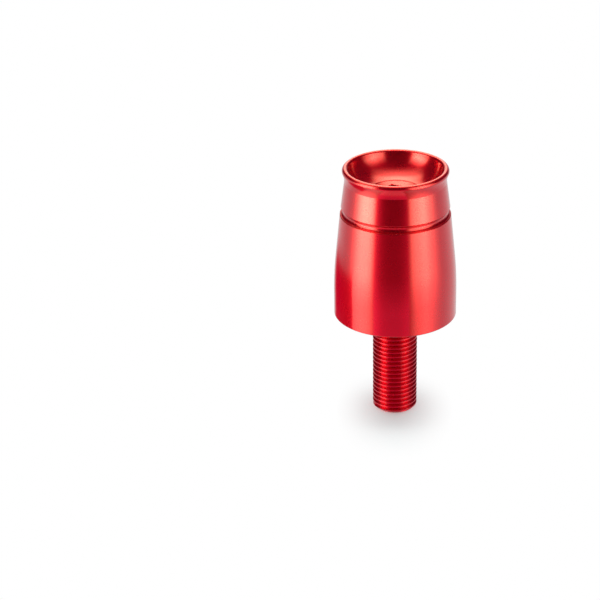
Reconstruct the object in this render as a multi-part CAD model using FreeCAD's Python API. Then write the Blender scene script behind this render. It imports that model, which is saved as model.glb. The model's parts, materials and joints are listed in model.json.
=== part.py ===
import FreeCAD, Part
import math
import os

# Bar end weight, turned in one piece from an aluminium bar. Sizes are in millimetres, angles in degrees.
# The turning axis is Z. The stud's flat end is at Z = 0 and the dished front faces +Z.

# Threaded stud, plain at the major diameter of its M12 thread
stud_radius = 6.0
stud_length = 28.0
stud_chamfer = 0.8

# Body behind the groove. Heights on the body are counted from the shoulder.
body_radius = 16.3
shoulder_chamfer = 0.3
taper_corner_height = 11.7
taper_angle = 5.7
taper_blend_radius = 100.0

# Round-bottomed groove round the body
groove_height = 28.57
groove_width = 1.95
groove_depth = 0.85
groove_edge_break = 0.12

# Front wall, from the groove up to the rolled lip that stands proud of it
front_radius = 14.37
front_angle = 7.6
cove_radius = 5.3
lip_height = 40.5
lip_overhang = 0.98
lip_round_radius = 0.82

# Dish inside the lip, with a shallow conical seat at its foot
dish_wall_radius = 8.4
dish_foot_radius = 6.1
dish_depth = 6.0
seat_angle = 20.0

# Hexagon socket for the key, broached over a drilled hole
key_across_flats = 8.0
key_depth = 8.0
key_corner_angle = 43.0
drill_radius = 3.6
drill_past_key = 1.0
drill_point_angle = 118.0

# An arc that turns further than this is built as equal spans that run on smoothly
longest_span = 60.0

# Heights above the stud's end
shoulder_z = stud_length
groove_rear_z = shoulder_z + groove_height
groove_front_z = groove_rear_z + groove_width
lip_z = shoulder_z + lip_height
dish_foot_z = lip_z + lip_round_radius - dish_depth
key_floor_z = dish_foot_z - key_depth


def point(place):
    """A point of the section, given as (radius, height)."""
    return FreeCAD.Vector(place[0], 0, place[1])


def line(start, end):
    return Part.LineSegment(point(start), point(end)).toShape()


def on_circle(centre, radius, angle):
    """The place on a circle of the section. The angle turns from outwards to upwards."""
    turn = math.radians(angle)
    return (centre[0] + radius * math.cos(turn), centre[1] + radius * math.sin(turn))


def arc(centre, radius, start_angle, end_angle):
    """An arc of the section, as a list of its spans."""
    turn = end_angle - start_angle
    spans = math.ceil(abs(turn) / longest_span)
    edges = []
    for span in range(spans):
        angles = [start_angle + turn * (span + share) / spans for share in (0, 0.5, 1)]
        places = [point(on_circle(centre, radius, angle)) for angle in angles]
        edges.append(Part.Arc(*places).toShape())
    return edges


def bearing(origin, target):
    """The angle, from 0 to 360, at which one place of the section sees another."""
    return math.degrees(math.atan2(target[1] - origin[1], target[0] - origin[0])) % 360


def stud_edges():
    """From the axis along the stud's end, its chamfer and its side to the shoulder."""
    end_edge = (stud_radius - stud_chamfer, 0)
    side_start = (stud_radius, stud_chamfer)
    root = (stud_radius, shoulder_z)
    return [line((0, 0), end_edge), line(end_edge, side_start), line(side_start, root)]


def blend_centre():
    """The centre of the wide arc that joins the straight wall to the tapered wall."""
    tangent_length = taper_blend_radius * math.tan(math.radians(taper_angle / 2))
    return (body_radius - taper_blend_radius, shoulder_z + taper_corner_height - tangent_length)


def taper_radius_at(height):
    """The tapered wall's radius at a height above the stud's end."""
    start = on_circle(blend_centre(), taper_blend_radius, taper_angle)
    return start[0] - (height - start[1]) * math.tan(math.radians(taper_angle))


def front_radius_at(height):
    """The front wall's radius at a height above the stud's end."""
    return front_radius - (height - groove_front_z) * math.tan(math.radians(front_angle))


def rear_body_edges():
    """The shoulder, the straight wall, the blend and the tapered wall, up to the groove."""
    centre = blend_centre()
    shoulder_end = (body_radius - shoulder_chamfer, shoulder_z)
    wall_start = (body_radius, shoulder_z + shoulder_chamfer)
    taper_start = on_circle(centre, taper_blend_radius, taper_angle)
    taper_end_z = groove_rear_z - groove_edge_break
    edges = [line((stud_radius, shoulder_z), shoulder_end), line(shoulder_end, wall_start)]
    edges.append(line(wall_start, (body_radius, centre[1])))
    edges += arc(centre, taper_blend_radius, 0, taper_angle)
    edges.append(line(taper_start, (taper_radius_at(taper_end_z), taper_end_z)))
    return edges


def groove_edges():
    """The round-bottomed groove with a small break at each edge."""
    rear_break_z = groove_rear_z - groove_edge_break
    front_break_z = groove_front_z + groove_edge_break
    rear = (taper_radius_at(groove_rear_z) - groove_edge_break, groove_rear_z)
    front = (front_radius - groove_edge_break, groove_front_z)
    half_chord = math.dist(rear, front) / 2
    sag = groove_depth - groove_edge_break
    floor_radius = (half_chord ** 2 + sag ** 2) / (2 * sag)
    outward = math.radians(bearing(rear, front) - 90)
    reach = floor_radius - sag
    middle = ((rear[0] + front[0]) / 2, (rear[1] + front[1]) / 2)
    centre = (middle[0] + reach * math.cos(outward), middle[1] + reach * math.sin(outward))
    edges = [line((taper_radius_at(rear_break_z), rear_break_z), rear)]
    edges += arc(centre, floor_radius, bearing(centre, rear), bearing(centre, front))
    edges.append(line(front, (front_radius_at(front_break_z), front_break_z)))
    return edges


def lip_centre():
    """The centre of the rolled lip's round."""
    return (front_radius_at(lip_z) + lip_overhang - lip_round_radius, lip_z)


def cove_centre():
    """The centre of the hollow arc that touches the front wall and the rolled lip."""
    slope = math.radians(front_angle)
    lip = lip_centre()
    base = (front_radius_at(lip_z) + math.cos(slope) * cove_radius, lip_z + math.sin(slope) * cove_radius)
    offset = (base[0] - lip[0], base[1] - lip[1])
    half = offset[1] * math.cos(slope) - offset[0] * math.sin(slope)
    gap = offset[0] ** 2 + offset[1] ** 2 - (cove_radius + lip_round_radius) ** 2
    slide = half + math.sqrt(half ** 2 - gap)
    return (base[0] + math.sin(slope) * slide, base[1] - math.cos(slope) * slide)


def dish_centre():
    """The centre of the dish wall's arc, which touches the lip and ends at the dish's foot."""
    foot = (dish_foot_radius, dish_foot_z)
    lip = lip_centre()
    span = math.dist(lip, foot)
    ahead = ((lip[0] - foot[0]) / span, (lip[1] - foot[1]) / span)
    reach = dish_wall_radius + lip_round_radius
    along = (span ** 2 + dish_wall_radius ** 2 - reach ** 2) / (2 * span)
    across = math.sqrt(dish_wall_radius ** 2 - along ** 2)
    radius = foot[0] + ahead[0] * along - ahead[1] * across
    height = foot[1] + ahead[1] * along + ahead[0] * across
    return (radius, height)


def front_edges():
    """The front wall, the cove, the rolled lip, the dish and the seat, back to the axis."""
    cove = cove_centre()
    dish = dish_centre()
    lip = lip_centre()
    foot = (dish_foot_radius, dish_foot_z)
    wall_start_z = groove_front_z + groove_edge_break
    wall_start = (front_radius_at(wall_start_z), wall_start_z)
    wall_end_angle = 180 + front_angle
    seat_drop = dish_foot_radius * math.tan(math.radians(seat_angle))
    seat_tip = (0, dish_foot_z - seat_drop)
    edges = [line(wall_start, on_circle(cove, cove_radius, wall_end_angle))]
    edges += arc(cove, cove_radius, wall_end_angle, bearing(cove, lip))
    edges += arc(lip, lip_round_radius, bearing(lip, cove) - 360, bearing(lip, dish))
    edges += arc(dish, dish_wall_radius, bearing(dish, lip), bearing(dish, foot))
    edges += [line(foot, seat_tip), line(seat_tip, (0, 0))]
    return edges


def turned_blank():
    """The whole section turned about Z."""
    edges = stud_edges() + rear_body_edges() + groove_edges() + front_edges()
    face = Part.Face(Part.Wire(edges))
    return face.revolve(FreeCAD.Vector(0, 0, 0), FreeCAD.Vector(0, 0, 1), 360)


def key_hexagon():
    """A hexagonal prism from the socket's floor to above the seat."""
    corner_radius = key_across_flats / 2 / math.cos(math.pi / 6)
    corners = []
    for side in range(7):
        place = on_circle((0, 0), corner_radius, key_corner_angle + 60 * side)
        corners.append(FreeCAD.Vector(place[0], place[1], key_floor_z))
    face = Part.Face(Part.makePolygon(corners))
    return face.extrude(FreeCAD.Vector(0, 0, key_depth))


def key_drilling():
    """The drilled hole under the hexagon, with the cone that the drill's point leaves."""
    point_height = drill_radius / math.tan(math.radians(drill_point_angle / 2))
    hole_end = FreeCAD.Vector(0, 0, key_floor_z - drill_past_key)
    tip = FreeCAD.Vector(0, 0, hole_end.z - point_height)
    hole = Part.makeCylinder(drill_radius, drill_past_key + key_depth, hole_end)
    return hole.fuse(Part.makeCone(0, drill_radius, point_height, tip))


def bar_end_weight():
    return turned_blank().cut(key_hexagon()).cut(key_drilling())


def write_step(name, shape):
    solid = shape.Solids[0]
    print(name, "solids", len(shape.Solids), "valid", solid.isValid(), "volume", round(solid.Volume, 1))
    solid.exportStep(os.path.join("parts", name + ".step"))


os.makedirs("parts", exist_ok=True)
write_step("bar_end_weight", bar_end_weight())
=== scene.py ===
import json
import math

import bmesh
import bpy
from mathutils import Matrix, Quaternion, Vector


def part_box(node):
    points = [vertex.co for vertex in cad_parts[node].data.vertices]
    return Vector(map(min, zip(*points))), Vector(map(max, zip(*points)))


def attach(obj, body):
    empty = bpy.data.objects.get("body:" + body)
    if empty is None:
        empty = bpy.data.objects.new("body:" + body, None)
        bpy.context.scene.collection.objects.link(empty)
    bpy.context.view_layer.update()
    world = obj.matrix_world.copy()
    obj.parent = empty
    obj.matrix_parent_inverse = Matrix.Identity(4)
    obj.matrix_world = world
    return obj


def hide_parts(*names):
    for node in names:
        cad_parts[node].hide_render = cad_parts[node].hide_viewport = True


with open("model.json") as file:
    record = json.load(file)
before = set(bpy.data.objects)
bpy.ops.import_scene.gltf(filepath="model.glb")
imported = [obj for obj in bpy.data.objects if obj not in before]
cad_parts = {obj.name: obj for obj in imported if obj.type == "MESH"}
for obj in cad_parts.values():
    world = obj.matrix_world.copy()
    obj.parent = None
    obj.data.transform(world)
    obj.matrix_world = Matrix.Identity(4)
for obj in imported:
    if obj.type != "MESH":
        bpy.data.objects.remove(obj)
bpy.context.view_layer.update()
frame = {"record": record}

# Bar end weight in red anodised aluminium, standing on the end of its threaded stud.
# Shapes are in millimetres and degrees, like the frame's mounts, and become metres in the mesh.
# A section is a list of (radius, height) places, turned about Z.

MM = 0.001
NODE = "bar_end_weight"


def mount(name):
    """One of the part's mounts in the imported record."""
    return next(m for m in frame["record"]["mounts"] if m["name"] == name)


# Sizes read from the frame
BODY_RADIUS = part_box(NODE)[1].x / MM
TOP_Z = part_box(NODE)[1].z / MM
STUD_RADIUS = mount("threaded_stud")["dims"]["r_mm"]
SHOULDER_Z = mount("shoulder")["pos_m"][2] / MM

# Columns of vertices round the axis. A hexagon corner lies on a column, so this is a multiple of 6.
COLUMNS = 192
KEY_CORNER_ANGLE = 43.0

# Stud and its thread, whose crests lie a little inside the plain stud
STUD_CHAMFER = 0.8
THREAD_INSET = 0.05
THREAD_RADIUS = STUD_RADIUS - THREAD_INSET
THREAD_PITCH = 1.25
THREAD_RUNOUT = 2.0
# Half of the thread's profile: distance from the crest's middle and depth, both in pitches
THREAD_PROFILE = [
    (0.125, 0.0), (0.14, 0.0), (0.1425, 0.0025), (0.15, 0.0155),
    (0.475, 0.578), (0.488, 0.594), (0.5, 0.598),
]

# Body. Heights on it are counted from the shoulder.
SHOULDER_EDGE = 0.3
TAPER_CORNER_HEIGHT = 11.7
TAPER_CORNER_Z = SHOULDER_Z + TAPER_CORNER_HEIGHT
TAPER_ANGLE = 5.7
TAPER_BLEND_RADIUS = 100.0
GROOVE_HEIGHT = 28.57
GROOVE_WIDTH = 1.95
GROOVE_DEPTH = 0.85
GROOVE_EDGE_BREAK = 0.12
GROOVE_REAR_Z = SHOULDER_Z + GROOVE_HEIGHT
GROOVE_FRONT_Z = GROOVE_REAR_Z + GROOVE_WIDTH
FRONT_RADIUS = 14.37
FRONT_ANGLE = 7.6
COVE_RADIUS = 5.3
# The cove's first degrees lie flat, which leaves a crisp line where it meets the front wall
COVE_EDGE_TURN = 10.5
LIP_ROUND_RADIUS = 0.82
LIP_OVERHANG = 0.98
LIP_Z = TOP_Z - LIP_ROUND_RADIUS

# Dish, seat and key socket
DISH_WALL_RADIUS = 8.4
DISH_FOOT_RADIUS = 6.1
DISH_DEPTH = 6.0
DISH_FOOT_Z = TOP_Z - DISH_DEPTH
SEAT_ANGLE = 20.0
# Thin turned line where the seat meets the dish, and its profile as shares of its width and depth
SEAT_LINE_WIDTH = 0.2
SEAT_LINE_DEPTH = 0.055
SEAT_LINE_PROFILE = [(0.15, 0.6), (0.4, 1.0), (0.7, 0.7), (1.0, 0.0)]
KEY_HALF_FLATS = 4.0
KEY_EDGE_BREAK = 0.12
KEY_DEPTH = 8.0
KEY_FLOOR_Z = DISH_FOOT_Z - KEY_DEPTH
DRILL_RADIUS = 3.6
DRILL_PAST_KEY = 1.0
DRILL_POINT_ANGLE = 118.0

# Rows beside a smooth join keep the long walls straight in the shading
SUPPORT = 0.06
# Degrees that an arc turns between rows: a small round, the shoulder's edge, the wide blend and a hollow
ARC_STEP = 7.5
EDGE_ARC_STEP = 15.0
BLEND_ARC_STEP = 0.5
HOLLOW_ARC_STEP = 3.0
# Rows as shares of the way in: across the seat, across the socket's floor and down the drill's point
SEAT_ROWS = (0.16, 0.5, 0.94, 1)
FLOOR_ROWS = (0, 0.2, 1)
DRILL_POINT_ROWS = (0.04, 0.95)
# The innermost ring of the stud's flat end
END_RING_RADIUS = 0.3


def polar(centre, radius, angle):
    turn = math.radians(angle)
    return (centre[0] + radius * math.cos(turn), centre[1] + radius * math.sin(turn))


def bearing(origin, target):
    """The angle, from 0 to 360, at which one place of the section sees another."""
    return math.degrees(math.atan2(target[1] - origin[1], target[0] - origin[0])) % 360


def arc(centre, radius, start, end, step=ARC_STEP):
    """Places along an arc, both ends included."""
    steps = max(2, math.ceil(abs(end - start) / step))
    return [polar(centre, radius, start + (end - start) * i / steps) for i in range(steps + 1)]


def wall(start, end):
    """A straight wall's rows, without its ends: one beside each end and one halfway."""
    length = math.dist(start, end)
    inset = SUPPORT / length
    shares = (inset, 0.5, 1 - inset)
    return [tuple(a + (b - a) * share for a, b in zip(start, end)) for share in shares]


def taper_start():
    """The wide blend's centre, and the place where the taper leaves it."""
    tangent = TAPER_BLEND_RADIUS * math.tan(math.radians(TAPER_ANGLE / 2))
    centre = (BODY_RADIUS - TAPER_BLEND_RADIUS, TAPER_CORNER_Z - tangent)
    return centre, polar(centre, TAPER_BLEND_RADIUS, TAPER_ANGLE)


def taper_radius_at(height):
    start = taper_start()[1]
    return start[0] - (height - start[1]) * math.tan(math.radians(TAPER_ANGLE))


def front_radius_at(height):
    return FRONT_RADIUS - (height - GROOVE_FRONT_Z) * math.tan(math.radians(FRONT_ANGLE))


def rear_body_section():
    """From the stud's root over the shoulder, its edge, the straight wall, the blend and the taper."""
    edge = (BODY_RADIUS - SHOULDER_EDGE, SHOULDER_Z + SHOULDER_EDGE)
    blend, taper = taper_start()
    shoulder_start = (STUD_RADIUS + SUPPORT, SHOULDER_Z)
    shoulder_end = (edge[0], SHOULDER_Z)
    straight_end = (BODY_RADIUS, blend[1])
    taper_end_z = GROOVE_REAR_Z - GROOVE_EDGE_BREAK
    taper_end = (taper_radius_at(taper_end_z), taper_end_z)
    places = [shoulder_start] + wall(shoulder_start, shoulder_end)
    places += arc(edge, SHOULDER_EDGE, -90, 0, EDGE_ARC_STEP)
    places += wall((BODY_RADIUS, edge[1]), straight_end)
    places += arc(blend, TAPER_BLEND_RADIUS, 0, TAPER_ANGLE, BLEND_ARC_STEP)
    places += wall(taper, taper_end) + [taper_end]
    return places


def groove_section():
    """The round-bottomed groove between its two edge breaks."""
    rear = (taper_radius_at(GROOVE_REAR_Z) - GROOVE_EDGE_BREAK, GROOVE_REAR_Z)
    front = (FRONT_RADIUS - GROOVE_EDGE_BREAK, GROOVE_FRONT_Z)
    half_chord = math.dist(rear, front) / 2
    sag = GROOVE_DEPTH - GROOVE_EDGE_BREAK
    radius = (half_chord ** 2 + sag ** 2) / (2 * sag)
    middle = ((rear[0] + front[0]) / 2, (rear[1] + front[1]) / 2)
    centre = polar(middle, radius - sag, bearing(rear, front) - 90)
    return arc(centre, radius, bearing(centre, rear), bearing(centre, front))


def front_section():
    """The front wall, the cove, the rolled lip and the dish down to its foot."""
    lip = (front_radius_at(LIP_Z) + LIP_OVERHANG - LIP_ROUND_RADIUS, LIP_Z)
    foot = (DISH_FOOT_RADIUS, DISH_FOOT_Z)
    cove = cove_centre(lip)
    dish = dish_centre(lip, foot)
    wall_start_z = GROOVE_FRONT_Z + GROOVE_EDGE_BREAK
    wall_start = (front_radius_at(wall_start_z), wall_start_z)
    cove_start = 180 + FRONT_ANGLE
    hollow_start = cove_start - COVE_EDGE_TURN
    half_turn = COVE_EDGE_TURN / 2
    edge = polar(cove, COVE_RADIUS / math.cos(math.radians(half_turn)), cove_start - half_turn)
    hollow = polar(cove, COVE_RADIUS, hollow_start)
    places = [wall_start] + wall(wall_start, edge) + [edge] + wall(edge, hollow)
    places += arc(cove, COVE_RADIUS, hollow_start, bearing(cove, lip), HOLLOW_ARC_STEP)[:-1]
    places += arc(lip, LIP_ROUND_RADIUS, bearing(lip, cove) - 360, bearing(lip, dish))[:-1]
    places += arc(dish, DISH_WALL_RADIUS, bearing(dish, lip), bearing(dish, foot), HOLLOW_ARC_STEP)
    return places


def cove_centre(lip):
    """The centre of the hollow arc that touches the front wall and the rolled lip."""
    slope = math.radians(FRONT_ANGLE)
    base = (front_radius_at(LIP_Z) + math.cos(slope) * COVE_RADIUS, LIP_Z + math.sin(slope) * COVE_RADIUS)
    offset = (base[0] - lip[0], base[1] - lip[1])
    half = offset[1] * math.cos(slope) - offset[0] * math.sin(slope)
    gap = offset[0] ** 2 + offset[1] ** 2 - (COVE_RADIUS + LIP_ROUND_RADIUS) ** 2
    slide = half + math.sqrt(half ** 2 - gap)
    return (base[0] + math.sin(slope) * slide, base[1] - math.cos(slope) * slide)


def dish_centre(lip, foot):
    """The centre of the dish wall's arc, which touches the lip and ends at the dish's foot."""
    span = math.dist(lip, foot)
    ahead = ((lip[0] - foot[0]) / span, (lip[1] - foot[1]) / span)
    reach = DISH_WALL_RADIUS + LIP_ROUND_RADIUS
    along = (span ** 2 + DISH_WALL_RADIUS ** 2 - reach ** 2) / (2 * span)
    across = math.sqrt(DISH_WALL_RADIUS ** 2 - along ** 2)
    return (foot[0] + ahead[0] * along - ahead[1] * across, foot[1] + ahead[1] * along + ahead[0] * across)


class Turned:
    """A closed mesh grown row by row, with one vertex a row on each column."""

    def __init__(self):
        self.mesh = bmesh.new()
        self.last = None

    def vertex(self, column, radius, height):
        angle = math.radians(KEY_CORNER_ANGLE + 360 * column / COLUMNS)
        return self.mesh.verts.new(
            (radius * math.cos(angle) * MM, radius * math.sin(angle) * MM, height * MM)
        )

    def row(self, place_at):
        """Adds a row, given its (radius, height) at a column, and joins it to the last one."""
        row = [self.vertex(column, *place_at(column)) for column in range(COLUMNS)]
        if self.last:
            for column in range(COLUMNS):
                beside = (column + 1) % COLUMNS
                self.face(self.last[column], self.last[beside], row[beside], row[column])
        self.last = row

    def ring(self, place):
        self.row(lambda column: place)

    def face(self, *corners):
        self.mesh.faces.new(corners)

    def centre(self, height, opening):
        """A vertex on the axis, joined to the last row. An opening cap starts the mesh."""
        tip = self.mesh.verts.new((0, 0, height * MM))
        for column in range(COLUMNS):
            beside = (column + 1) % COLUMNS
            pair = (self.last[column], self.last[beside])
            self.face(tip, *(pair[::-1] if opening else pair))

    def object(self, name):
        data = bpy.data.meshes.new(name)
        self.mesh.to_mesh(data)
        self.mesh.free()
        data.polygons.foreach_set("use_smooth", [True] * len(data.polygons))
        made = bpy.data.objects.new(name, data)
        bpy.context.scene.collection.objects.link(made)
        return made


def thread_rows():
    """The thread's rows in one pitch: place along the pitch and depth, both in pitches."""
    rising = [(-along, depth) for along, depth in THREAD_PROFILE[:-1]]
    return sorted(rising + THREAD_PROFILE)


def thread_place(along, depth):
    """The (radius, height) of a thread place, with the end's chamfer and the run-out at the root."""
    fade = min(1.0, max(0.0, (SHOULDER_Z - along) / THREAD_RUNOUT))
    fade = fade * fade * (3 - 2 * fade)
    chamfer = STUD_RADIUS - STUD_CHAMFER + along
    return (min(THREAD_RADIUS - depth * THREAD_PITCH * fade, chamfer), along)


def add_thread(turned):
    """Winds the right-hand thread's rows up the stud, cut off level at its end and at the shoulder."""
    rows = thread_rows()
    low, high = SUPPORT / 2, SHOULDER_Z - SUPPORT / 2
    turns = math.ceil(SHOULDER_Z / THREAD_PITCH) + 1
    columns = []
    for column in range(COLUMNS + 1):
        found = {}
        for turn in range(-1, turns):
            for number, (along, depth) in enumerate(rows):
                height = (turn + along + column / COLUMNS) * THREAD_PITCH
                if low < height < high:
                    found[turn * len(rows) + number] = (height, depth)
        columns.append(found)
    made = []
    for column in range(COLUMNS):
        made.append({n: turned.vertex(column, *thread_place(*p)) for n, p in columns[column].items()})
    made.append({n - len(rows): vertex for n, vertex in made[0].items()})
    bottom = turned.last
    top = [turned.vertex(column, THREAD_RADIUS, SHOULDER_Z) for column in range(COLUMNS)]
    for column in range(COLUMNS):
        beside = (column + 1) % COLUMNS
        here, there = made[column], made[column + 1]
        shared = sorted(set(here) & set(there))
        first, last = shared[0], shared[-1]
        turned.face(bottom[column], bottom[beside], there[min(there)], here[first])
        if min(there) < first:
            turned.face(here[first], there[min(there)], there[first])
        for number in shared[:-1]:
            turned.face(here[number], there[number], there[number + 1], here[number + 1])
        turned.face(here[max(here)], there[last], top[beside], top[column])
        if max(here) > last:
            turned.face(here[last], there[last], here[max(here)])
    turned.last = top


def seat_height(radius):
    return DISH_FOOT_Z - (DISH_FOOT_RADIUS - radius) * math.tan(math.radians(SEAT_ANGLE))


def hexagon_radius(column, half_flats):
    """How far a hexagon's side lies from the axis on a column."""
    across = (360 * column / COLUMNS) % 60 - 30
    return half_flats / math.cos(math.radians(across))


def add_seat(turned):
    """The thin line at the dish's foot, and the seat down to the hexagon's broken edge."""
    def place_at(share):
        def place(column):
            hexagon = hexagon_radius(column, KEY_HALF_FLATS + KEY_EDGE_BREAK)
            radius = DISH_FOOT_RADIUS + (hexagon - DISH_FOOT_RADIUS) * share
            return (radius, seat_height(radius))
        return place

    for share, drop in SEAT_LINE_PROFILE:
        radius = DISH_FOOT_RADIUS - SEAT_LINE_WIDTH * share
        turned.ring((radius, seat_height(radius) - SEAT_LINE_DEPTH * drop))
    for share in SEAT_ROWS:
        turned.row(place_at(share))


def add_key_socket(turned):
    """The hexagon's walls and its floor, in to the drilled hole."""
    def side(height_at):
        def place(column):
            radius = hexagon_radius(column, KEY_HALF_FLATS)
            return (radius, height_at(radius))
        return place

    def floor(share):
        def place(column):
            hexagon = hexagon_radius(column, KEY_HALF_FLATS)
            return (hexagon + (DRILL_RADIUS - hexagon) * share, KEY_FLOOR_Z)
        return place

    turned.row(side(lambda radius: seat_height(radius) - KEY_EDGE_BREAK))
    turned.row(side(lambda radius: seat_height(radius) - 2 * KEY_EDGE_BREAK))
    turned.row(side(lambda radius: KEY_FLOOR_Z + KEY_EDGE_BREAK))
    for share in FLOOR_ROWS:
        turned.row(floor(share))


def add_drilling(turned):
    """The drilled hole under the hexagon, with the cone that the drill's point leaves."""
    hole_end = KEY_FLOOR_Z - DRILL_PAST_KEY
    point_height = DRILL_RADIUS / math.tan(math.radians(DRILL_POINT_ANGLE / 2))
    for height in (KEY_FLOOR_Z - SUPPORT, hole_end + SUPPORT, hole_end):
        turned.ring((DRILL_RADIUS, height))
    for share in DRILL_POINT_ROWS:
        turned.ring((DRILL_RADIUS * (1 - share), hole_end - point_height * share))
    turned.centre(hole_end - point_height, opening=False)


def add_stud_end(turned):
    """The stud's flat end, from the axis out to its chamfer."""
    end_edge = STUD_RADIUS - STUD_CHAMFER
    turned.ring((END_RING_RADIUS, 0))
    turned.centre(0, opening=True)
    turned.ring((end_edge / 2, 0))
    turned.ring((end_edge - SUPPORT, 0))
    turned.ring((end_edge, SUPPORT / 4))


def make_weight():
    turned = Turned()
    add_stud_end(turned)
    add_thread(turned)
    for place in rear_body_section() + groove_section() + front_section():
        turned.ring(place)
    add_seat(turned)
    add_key_socket(turned)
    add_drilling(turned)
    return turned.object("anodised_bar_end_weight")


# Materials

class Shader:
    """The node tree of a new material or world, with short ways to add and join nodes."""

    def __init__(self, owner):
        owner.use_nodes = True
        self.owner = owner
        self.tree = owner.node_tree
        self.tree.nodes.clear()

    def add(self, kind, **settings):
        node = self.tree.nodes.new(kind)
        for key, value in settings.items():
            setattr(node, key, value)
        return node

    def join(self, source, target):
        self.tree.links.new(source, target)

    def feed(self, value, target):
        """Gives a socket a constant or another node's output."""
        if isinstance(value, bpy.types.NodeSocket):
            self.join(value, target)
        else:
            target.default_value = value

    def math(self, operation, first, second):
        node = self.add("ShaderNodeMath", operation=operation)
        self.feed(first, node.inputs[0])
        self.feed(second, node.inputs[1])
        return node.outputs[0]

    def spread(self, value, low, high):
        """Spreads a value from 0 to 1 over the range from low to high."""
        node = self.add("ShaderNodeMapRange")
        self.join(value, node.inputs["Value"])
        node.inputs["To Min"].default_value = low
        node.inputs["To Max"].default_value = high
        return node.outputs[0]

    def mix_colours(self, share, first, second):
        """A colour Mix node, which has its two colours at inputs 6 and 7."""
        node = self.add("ShaderNodeMix", data_type="RGBA")
        self.join(share, node.inputs["Factor"])
        self.feed(first, node.inputs[6])
        self.feed(second, node.inputs[7])
        return node.outputs[2]

    def mix_shaders(self, share, first, second):
        node = self.add("ShaderNodeMixShader")
        for source, target in zip((share, first, second), node.inputs):
            self.join(source, target)
        return node.outputs[0]

    def seen(self):
        """1 for what the camera sees, straight or by a reflection, and 0 for the light on surfaces."""
        path = self.add("ShaderNodeLightPath")
        seen = self.math("MAXIMUM", path.outputs["Is Camera Ray"], path.outputs["Is Glossy Ray"])
        return self.math("MAXIMUM", seen, path.outputs["Is Transmission Ray"])

    def finish(self, surface, kind="ShaderNodeOutputMaterial"):
        """Puts a surface on the output node, and returns the material or world."""
        output = self.add(kind)
        self.join(surface, output.inputs["Surface"])
        return self.owner


# The dye, from its thinnest to its deepest patches
DYE_PALE = (0.65, 0.004, 0.020, 1)
DYE_DEEP = (0.59, 0.002, 0.016, 1)
# Painted shade: the thread's dye is darker than the turned faces, standing in for the shade under the body
DYE_THREAD_SHADE = (0.51, 0.002, 0.024, 1)
METALLIC = 0.8
EDGE_TINT = (1, 0.5, 0.52, 1)
# The clear skin. It is thinner on the thread, a painted shade that dims the thread's reflections where the
# body shades it
COAT = 1.0
THREAD_COAT_SHADE = 0.45
COAT_ROUGHNESS = 0.075
COAT_IOR = 1.5
DYE_PATCH_SIZE = 0.006
ROUGHNESS = (0.25, 0.31)
ROUGHNESS_PATCH_SIZE = 0.0025
NOISE_DETAIL = 2.0
# Rings that the lathe left: their usual spacing and height in metres, and how they stretch a reflection
RING_SPACING = 0.00018
RING_HEIGHT = 0.0000012
RING_STRETCH = 0.6
RING_STRETCH_TURN = 0.25


def noise(shader, place, size):
    """A noise from 0 to 1 whose patches are about as wide as a size in metres."""
    made = shader.add("ShaderNodeTexNoise")
    made.inputs["Scale"].default_value = 1 / size
    made.inputs["Detail"].default_value = NOISE_DETAIL
    shader.join(place, made.inputs["Vector"])
    return made.outputs["Fac"]


def lathe_place(shader, place):
    """The place as (distance from the axis, 0, height), so that a noise on it is made of rings."""
    parts = shader.add("ShaderNodeSeparateXYZ")
    shader.join(place, parts.inputs[0])
    squares = [shader.math("MULTIPLY", parts.outputs[axis], parts.outputs[axis]) for axis in (0, 1)]
    radius = shader.math("SQRT", shader.math("ADD", *squares), 0.0)
    ring = shader.add("ShaderNodeCombineXYZ")
    shader.join(radius, ring.inputs[0])
    shader.join(parts.outputs[2], ring.inputs[2])
    return ring.outputs[0]


def anodised_red():
    """Dyed oxide over turned aluminium: red metal under a clear skin, with fine rings from the lathe."""
    shader = Shader(bpy.data.materials.new("red_anodised_aluminium"))
    surface = shader.add("ShaderNodeBsdfPrincipled")
    place = shader.add("ShaderNodeTexCoord").outputs["Object"]
    parts = shader.add("ShaderNodeSeparateXYZ")
    shader.join(place, parts.inputs[0])
    # Painted shade: below the shoulder the thread gets the darker dye and the thinner skin
    thread_shade = shader.math("LESS_THAN", parts.outputs[2], (SHOULDER_Z - SUPPORT) * MM)
    dye = shader.mix_colours(noise(shader, place, DYE_PATCH_SIZE), DYE_DEEP, DYE_PALE)
    shader.join(shader.mix_colours(thread_shade, dye, DYE_THREAD_SHADE), surface.inputs["Base Color"])
    rough = shader.spread(noise(shader, place, ROUGHNESS_PATCH_SIZE), *ROUGHNESS)
    shader.join(rough, surface.inputs["Roughness"])
    shader.join(shader.spread(thread_shade, COAT, THREAD_COAT_SHADE), surface.inputs["Coat Weight"])
    rings = shader.add("ShaderNodeBump")
    rings.inputs["Strength"].default_value = 1.0
    rings.inputs["Distance"].default_value = RING_HEIGHT
    shader.join(noise(shader, lathe_place(shader, place), RING_SPACING), rings.inputs["Height"])
    shader.join(rings.outputs[0], surface.inputs["Normal"])
    surface.inputs["Metallic"].default_value = METALLIC
    surface.inputs["Specular Tint"].default_value = EDGE_TINT
    surface.inputs["Anisotropic"].default_value = RING_STRETCH
    surface.inputs["Anisotropic Rotation"].default_value = RING_STRETCH_TURN
    surface.inputs["Coat Roughness"].default_value = COAT_ROUGHNESS
    surface.inputs["Coat IOR"].default_value = COAT_IOR
    round_axis = shader.add("ShaderNodeTangent", direction_type="RADIAL", axis="Z")
    shader.join(round_axis.outputs[0], surface.inputs["Tangent"])
    return shader.finish(surface.outputs[0])


# Studio. Azimuths are seen from the object: 0 is towards the camera and +90 to its right.

# The floor's half width and half depth, where its shadow has faded out into the white round it, and how
# far it has faded already at its middle
FLOOR_REACH = (0.016, 0.033)
FLOOR_LEAST_FADE = 0.1
FLOOR_SIDES = 96
# The shadow's middle lies a little in front of the stud
FLOOR_FORWARD = 0.003
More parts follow.
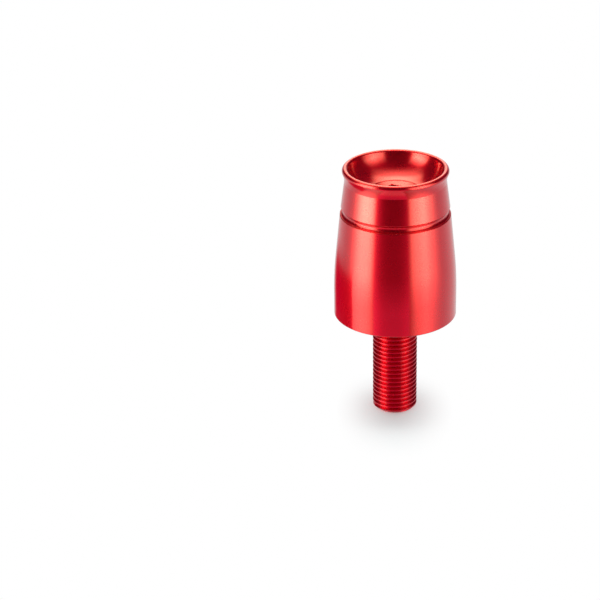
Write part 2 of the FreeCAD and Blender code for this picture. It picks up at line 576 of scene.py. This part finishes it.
# White paper. Near the middle it is cooler, which holds back the red that falls on it.
PAPER_NEAR = (0.80, 0.97, 0.97, 1)
PAPER_FAR = (0.90, 0.93, 0.93, 1)
# The white round the object is weaker as a light than it looks
WORLD_LIGHT = 0.7
# The lamp overhead is a square, in metres and watts
LAMP_PLACE = Vector((0, 0.1, 0.9))
LAMP_AIM = Vector((0, 0, 0.03))
LAMP_SIDE = 0.5
LAMP_POWER = 5

# The light tent, a sphere with a point every few degrees
TENT_CENTRE = Vector((0, 0, 0.045))
TENT_RADIUS = 0.9
TENT_STEP = 1.25
# Its stops are (angle, level) or (angle, share of a box's level). A rise runs over the elevations, and a
# turn over the azimuths. The soft boxes at both sides rise alike.
SIDE_BOX_RISE = [
    (-50, 0.07), (-30, 0.18), (-23.7, 0.235), (-19, 0.36), (-13, 0.65), (-8.5, 1.04), (0, 0.9),
    (8, 0.5), (15, 0.45), (23, 0.9), (30, 0.78), (36, 0.45), (41, 0.27), (47, 0.1), (54, 0),
]
LEFT_BOX_LEVEL = 9.5
LEFT_BOX_TURN = [
    (-112, 0), (-97, 0.05), (-88, 0.25), (-79, 0.65), (-70, 0.95), (-62, 1),
    (-54, 0.95), (-48, 0.75), (-42.5, 0.3), (-40, 0.06), (-37, 0.02), (-34, 0),
]
RIGHT_BOX_LEVEL = 6.2
RIGHT_BOX_TURN = [
    (24, 0), (27, 0.08), (30, 0.3), (33, 0.46), (40, 0.7), (47, 0.8), (55, 1), (62, 1),
    (68, 0.75), (78, 0.4), (88, 0.15), (98, 0.02), (112, 0),
]
# The elevation of the table's far edge. Above it, both boxes fade out between two azimuths.
TABLE_TOP = 2
BOX_END = (84, 93)
# The dark front, between two azimuths. What light it gives is red, and most of it comes from below.
FRONT_FLAG = (-40.5, 27)
FRONT_FLAG_RISE = [
    (-90, 0.6), (-60, 1.1), (-45, 1.08), (-35, 0.88), (-28, 1.03), (-23.7, 0.8),
    (-19, 0.45), (-13, 0.16), (-8.5, 0.05), (40, 0.04), (54, 0.05), (62, 0.03),
]
# Red light that creeps in at the dark front's sides, up to a little above the horizon
FLAG_EDGES = [
    (-40.5, 0.7), (-37, 0.6), (-32, 0.42), (-27, 0.12), (-20, 0.04), (-13, 0),
    (8, 0), (16, 0.08), (23, 0.24), (27, 0.32),
]
FLAG_EDGE_RISE = [(0, 1), (12, 0)]
# The pale table that fills what lies below its edge, and the backdrop behind the object
TABLE_TURN = [
    (26, 0), (40, 0.3), (60, 0.5), (80, 0.65), (100, 0.74), (125, 0.82), (150, 0.8), (180, 0.7),
]
TABLE_RISE = [(-90, 0.5), (-60, 1)]
BACKDROP_TURN = [(152, 0), (166, 0.6), (180, 0.8)]
BACKDROP_RISE = [(28, 1), (40, 0)]
# The red level where neither the dark front nor the table is
DARK = 0.07
# The colours of the boxes' light and of the red, which is paler lower down
WARM = (1, 0.97, 0.61)
RED_BOUNCE = (1, 0.12, 0.35)
PALE_BOUNCE = (1, 0.45, 0.5)
BOUNCE_TURNS = (-30, -50)
# Straight below, the tent has one level all round
POLE_LEVEL = 0.6
LOW_POLE = (-62, -80)
# A low crimson card close by at the left, which only reflections show: its distance from the axis, its
# two ends as azimuths and its top edge as heights in metres, each from full to none
CRIMSON = (0.72, 0.0, 0.06)
CARD_COLUMNS = 56
CARD_ROWS = 9
CARD_RADIUS = 0.06
CARD_NEAR_END = (-78, -76)
CARD_FAR_END = (-130, -150)
CARD_TOP = (0.024, 0.033)
# The overhead box: its level along the middle, by the angle back over the top
OVERHEAD_LEVEL = 6.0
OVERHEAD_TURN = [
    (74, 0), (78, 0.02), (82, 0.03), (86, 0.09), (91, 0.17), (95, 0.24), (104, 0.36), (109, 0.42),
    (114, 0.7), (119, 0.97), (125, 1), (131, 0.85), (140, 0.7), (152, 0.4), (166, 0.2), (176, 0),
]
# A direction that rises less than this misses it
OVERHEAD_LOWEST = 0.05
# Its reach to the side at each angle, as a slope, and the shares of it between which either side fades
OVERHEAD_REACH = [(84, 1.25), (96, 1.25), (115, 0.86), (125, 0.7), (135, 0.5), (145, 0.4)]
OVERHEAD_LEFT, OVERHEAD_RIGHT = (0, 1.1), (-0.1, 0.8)


def level_at(stops, angle):
    """The level at an angle, from the stops on both sides. Past the ends it is the end stop's."""
    if angle <= stops[0][0]:
        return stops[0][1]
    for (start, low), (end, high) in zip(stops, stops[1:]):
        if angle <= end:
            return low + (high - low) * (angle - start) / (end - start)
    return stops[-1][1]


def toward(azimuth, elevation):
    """The direction at an azimuth and elevation, as a unit vector."""
    azimuth, elevation = math.radians(azimuth), math.radians(elevation)
    return Vector((
        math.sin(azimuth) * math.cos(elevation),
        -math.cos(azimuth) * math.cos(elevation),
        math.sin(elevation),
    ))


def glow(name):
    """A light surface, in the colour and brightness of its mesh's light attribute."""
    shader = Shader(bpy.data.materials.new(name))
    attribute = shader.add("ShaderNodeAttribute", attribute_name="light")
    light = shader.add("ShaderNodeEmission")
    shader.join(attribute.outputs["Color"], light.inputs["Color"])
    return shader.finish(light.outputs[0])


def faded_glow(name, colour):
    """A light surface of one colour. Its mesh's share attribute says how much of it is there."""
    shader = Shader(bpy.data.materials.new(name))
    share = shader.add("ShaderNodeAttribute", attribute_name="share")
    light = shader.add("ShaderNodeEmission")
    light.inputs["Color"].default_value = (*colour, 1)
    clear = shader.add("ShaderNodeBsdfTransparent")
    return shader.finish(shader.mix_shaders(share.outputs["Fac"], clear.outputs[0], light.outputs[0]))


def only_in_reflections(made):
    made.visible_camera = False
    made.visible_diffuse = False
    made.visible_shadow = False


def stage_mesh(name, points, faces, material):
    data = bpy.data.meshes.new(name)
    data.from_pydata([tuple(p) for p in points], [], faces)
    data.materials.append(material)
    made = bpy.data.objects.new(name, data)
    bpy.context.scene.collection.objects.link(made)
    return made


def grid_faces(rows, columns, closed):
    """The faces of a grid of points given row by row, which may close on itself sideways."""
    across = columns if closed else columns + 1
    faces = []
    for i in range(rows):
        for j in range(columns):
            here, beside = i * across + j, i * across + (j + 1) % across
            faces.append((here, beside, beside + across, here + across))
    return faces


def between(low, high, value):
    """A smooth step from 0 at low to 1 at high."""
    share = min(1.0, max(0.0, (value - low) / (high - low)))
    return share * share * (3 - 2 * share)


def falling(high, low, value):
    """A smooth step from 0 at high to 1 at low, where low is the smaller."""
    return 1 - between(low, high, value)


def overhead_level(direction):
    """A soft box above the object and behind it, seen in a direction."""
    if direction.z < OVERHEAD_LOWEST:
        return 0.0
    turn = math.degrees(math.atan2(direction.z, -direction.y))
    slope = direction.x / math.hypot(direction.y, direction.z)
    fade = OVERHEAD_LEFT if slope < 0 else OVERHEAD_RIGHT
    across = 1 - between(*fade, abs(slope) / level_at(OVERHEAD_REACH, turn))
    return OVERHEAD_LEVEL * across * level_at(OVERHEAD_TURN, turn)


def box_level(azimuth, elevation):
    """The soft box at the left or at the right, seen in a direction."""
    share = level_at(SIDE_BOX_RISE, elevation)
    if elevation > TABLE_TOP:
        share *= 1 - between(*BOX_END, abs(azimuth))
    if azimuth < 0:
        return LEFT_BOX_LEVEL * level_at(LEFT_BOX_TURN, azimuth) * share
    return RIGHT_BOX_LEVEL * level_at(RIGHT_BOX_TURN, azimuth) * share


def tent_colour(azimuth, elevation):
    """The light that comes from a direction: soft boxes, a dark front, a pale table and backdrop."""
    white, red = 0.0, DARK
    turn = abs(azimuth)
    if FRONT_FLAG[0] < azimuth < FRONT_FLAG[1]:
        red = level_at(FRONT_FLAG_RISE, elevation)
        red += level_at(FLAG_EDGES, azimuth) * level_at(FLAG_EDGE_RISE, elevation)
    elif elevation < TABLE_TOP:
        white, red = level_at(TABLE_TURN, turn) * level_at(TABLE_RISE, elevation), 0.0
    if elevation > 0:
        white = max(white, level_at(BACKDROP_TURN, turn) * level_at(BACKDROP_RISE, elevation))
    warm = box_level(azimuth, elevation) + overhead_level(toward(azimuth, elevation))
    pole = falling(*LOW_POLE, elevation)
    white += (POLE_LEVEL - white) * pole
    red, warm = red * (1 - pole), warm * (1 - pole)
    pale = falling(*BOUNCE_TURNS, elevation)
    bounce = [low + (high - low) * pale for low, high in zip(RED_BOUNCE, PALE_BOUNCE)]
    return [white + red * a + warm * b for a, b in zip(bounce, WARM)] + [1]


def make_tent():
    """The light tent: a sphere round the object, which only reflections show."""
    columns, rows = round(360 / TENT_STEP), round(180 / TENT_STEP)
    points, colours = [], []
    for i in range(rows + 1):
        elevation = 180 * i / rows - 90
        for j in range(columns):
            azimuth = 360 * j / columns - 180
            points.append(TENT_CENTRE + toward(azimuth, elevation) * TENT_RADIUS)
            colours += tent_colour(azimuth, elevation)
    tent = stage_mesh("light_tent", points, grid_faces(rows, columns, True), glow("light_tent"))
    tent.data.attributes.new("light", "FLOAT_COLOR", "POINT").data.foreach_set("color", colours)
    only_in_reflections(tent)


def card_share(azimuth, height):
    """How much of the card is there, which is less towards its ends and its top."""
    near = falling(CARD_NEAR_END[1], CARD_NEAR_END[0], azimuth)
    far = between(CARD_FAR_END[1], CARD_FAR_END[0], azimuth)
    return near * far * (1 - between(*CARD_TOP, height))


def make_card():
    """The crimson card: an upright strip round the axis, soft at its ends and its top."""
    points, shares = [], []
    for i in range(CARD_ROWS + 1):
        height = CARD_TOP[1] * i / CARD_ROWS
        for j in range(CARD_COLUMNS + 1):
            azimuth = CARD_NEAR_END[1] + (CARD_FAR_END[1] - CARD_NEAR_END[1]) * j / CARD_COLUMNS
            points.append(toward(azimuth, 0) * CARD_RADIUS + Vector((0, 0, height)))
            shares.append(card_share(azimuth, height))
    faces = grid_faces(CARD_ROWS, CARD_COLUMNS, False)
    card = stage_mesh("crimson_card", points, faces, faded_glow("crimson_card", CRIMSON))
    card.data.attributes.new("share", "FLOAT", "POINT").data.foreach_set("value", shares)
    only_in_reflections(card)


def floor_material():
    """Paper that fades into the white round it, and isn't there from below."""
    shader = Shader(bpy.data.materials.new("white_floor"))
    place = shader.add("ShaderNodeNewGeometry")
    scaled = shader.add("ShaderNodeVectorMath", operation="MULTIPLY_ADD")
    shader.join(place.outputs["Position"], scaled.inputs[0])
    scaled.inputs[1].default_value = (1 / FLOOR_REACH[0], 1 / FLOOR_REACH[1], 0)
    scaled.inputs[2].default_value = (0, FLOOR_FORWARD / FLOOR_REACH[1], 0)
    distance = shader.add("ShaderNodeVectorMath", operation="LENGTH")
    shader.join(scaled.outputs[0], distance.inputs[0])
    fade = shader.spread(distance.outputs["Value"], FLOOR_LEAST_FADE, 1)
    paper = shader.add("ShaderNodeBsdfDiffuse")
    shader.join(shader.mix_colours(fade, PAPER_NEAR, PAPER_FAR), paper.inputs["Color"])
    white = shader.add("ShaderNodeEmission")
    clear = shader.add("ShaderNodeBsdfTransparent")
    share = shader.math("MULTIPLY", shader.seen(), fade)
    above = shader.mix_shaders(share, paper.outputs[0], white.outputs[0])
    return shader.finish(shader.mix_shaders(place.outputs["Backfacing"], above, clear.outputs[0]))


def make_floor():
    """An oval of paper. The tent has a table of its own, so reflections show that one."""
    middle = Vector((0, -FLOOR_FORWARD, 0))
    points = [middle]
    for i in range(FLOOR_SIDES):
        angle = 2 * math.pi * i / FLOOR_SIDES
        edge = Vector((math.cos(angle) * FLOOR_REACH[0], math.sin(angle) * FLOOR_REACH[1], 0))
        points.append(middle + edge)
    faces = [(0, 1 + i, 1 + (i + 1) % FLOOR_SIDES) for i in range(FLOOR_SIDES)]
    floor = stage_mesh("floor", points, faces, floor_material())
    floor.visible_glossy = False


def make_world():
    """White wherever the camera or a reflection looks past the floor, and softer as a light."""
    world = bpy.data.worlds.new("studio")
    bpy.context.scene.world = world
    shader = Shader(world)
    backgrounds = []
    for strength in (WORLD_LIGHT, 1.0):
        background = shader.add("ShaderNodeBackground")
        background.inputs["Color"].default_value = (1, 1, 1, 1)
        background.inputs["Strength"].default_value = strength
        backgrounds.append(background.outputs[0])
    shader.finish(shader.mix_shaders(shader.seen(), *backgrounds), "ShaderNodeOutputWorld")


def make_lamp():
    """A soft lamp overhead, which reflections don't show."""
    data = bpy.data.lights.new("overhead", "AREA")
    data.shape = "RECTANGLE"
    data.size = data.size_y = LAMP_SIDE
    data.energy = LAMP_POWER
    lamp = bpy.data.objects.new("overhead", data)
    bpy.context.scene.collection.objects.link(lamp)
    lamp.location = LAMP_PLACE
    lamp.rotation_euler = (LAMP_AIM - LAMP_PLACE).to_track_quat("-Z", "Y").to_euler()
    lamp.visible_glossy = False


def make_studio():
    make_floor()
    make_world()
    make_tent()
    make_card()
    make_lamp()


# Camera

PICTURE_SIDE = 600
SENSOR_WIDTH = 36.0
FOCAL_PIXELS = 2112
CAMERA_DISTANCE = 0.560
CAMERA_ELEVATION = 23.7
CLIP_START = 0.01
AIM_HEIGHT = 0.045
AIM_PIXEL = (395.25, 253.1)
# The photograph isn't quite upright
CAMERA_ROLL = 0.19


def make_camera():
    """Stands at the photograph's viewing angle and puts the aim point at its place in the picture."""
    data = bpy.data.cameras.new("camera")
    data.sensor_width = SENSOR_WIDTH
    data.lens = FOCAL_PIXELS / PICTURE_SIDE * SENSOR_WIDTH
    data.clip_start = CLIP_START
    camera = bpy.data.objects.new("camera", data)
    bpy.context.scene.collection.objects.link(camera)
    elevation = math.radians(CAMERA_ELEVATION)
    back = Vector((0, -math.cos(elevation), math.sin(elevation)))
    camera.location = Vector((0, 0, AIM_HEIGHT)) + back * CAMERA_DISTANCE
    straight = (-back).to_track_quat("-Z", "Y")
    middle = PICTURE_SIDE / 2
    seen_at = Vector((AIM_PIXEL[0] - middle, middle - AIM_PIXEL[1], -FOCAL_PIXELS))
    turn = seen_at.rotation_difference(Vector((0, 0, -1)))
    roll = Quaternion((0, 0, 1), math.radians(CAMERA_ROLL))
    camera.rotation_mode = "QUATERNION"
    camera.rotation_quaternion = straight @ roll @ turn
    bpy.context.scene.camera = camera


weight = make_weight()
weight.data.materials.append(anodised_red())
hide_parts(NODE)
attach(weight, "root")
make_studio()
make_camera()
bpy.context.scene.view_settings.view_transform = "Standard"
